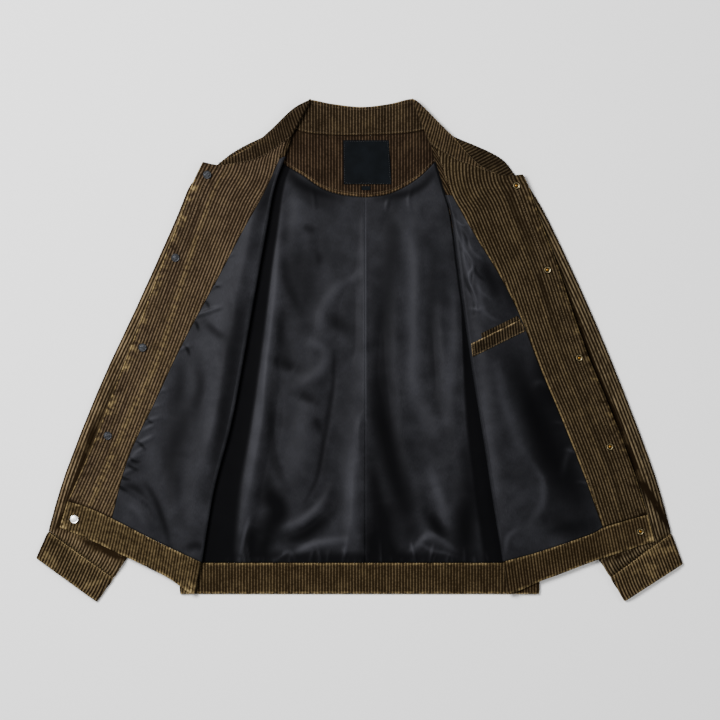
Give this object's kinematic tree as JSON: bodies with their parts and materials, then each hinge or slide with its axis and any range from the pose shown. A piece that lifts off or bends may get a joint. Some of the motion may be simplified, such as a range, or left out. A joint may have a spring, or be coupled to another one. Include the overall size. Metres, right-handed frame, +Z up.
{
  "type": "corduroy jacket",
  "caption": "Waist-length corduroy jacket with a stand-up collar, snap fronts, waistband and satin lining, laid open on its back with both fronts rolled outward.",
  "frame": {"origin": "the middle of the laid-out jacket's outline, on the surface it lies on", "axes": "+X across the jacket from the sleeve on the pocket's far side to the sleeve beside the inner pocket, +Y from the hem to the collar, +Z up from the surface"},
  "size_m": [0.938, 0.7296, 0.0168],
  "materials": {
    "corduroy": "wide-wale cotton corduroy, olive brown, crests worn lighter",
    "facing_corduroy": "wide-wale cotton corduroy, brown, unworn",
    "satin": "dark charcoal satin with a soft sheen",
    "label_satin": "black woven label, bare",
    "grey_metal": "dull grey snap caps",
    "brass": "polished snap sockets"
  },
  "bodies": {
    "root": {"back": "corduroy", "shoulder_left": "corduroy", "shoulder_right": "corduroy", "back_lining_left": "satin", "back_lining_right": "satin", "neck_facing": "facing_corduroy", "label": "label_satin", "size_tab": "label_satin", "collar": "corduroy", "front_left": "corduroy", "front_right": "corduroy", "facing_left": "facing_corduroy", "facing_right": "facing_corduroy", "front_lining_left": "satin", "front_lining_right": "satin", "pocket_welt": "corduroy", "pocket_backing": "corduroy", "sleeve_left": "corduroy", "sleeve_right": "corduroy", "cuff_left": "corduroy", "cuff_right": "corduroy", "waistband": "corduroy", "snap_left_1": "grey_metal", "snap_left_2": "grey_metal", "snap_left_3": "grey_metal", "snap_left_4": "grey_metal", "snap_left_5": "grey_metal", "snap_right_1": "brass", "snap_right_2": "brass", "snap_right_3": "brass", "snap_right_4": "brass", "snap_right_5": "brass"}
  },
  "joints": []
}
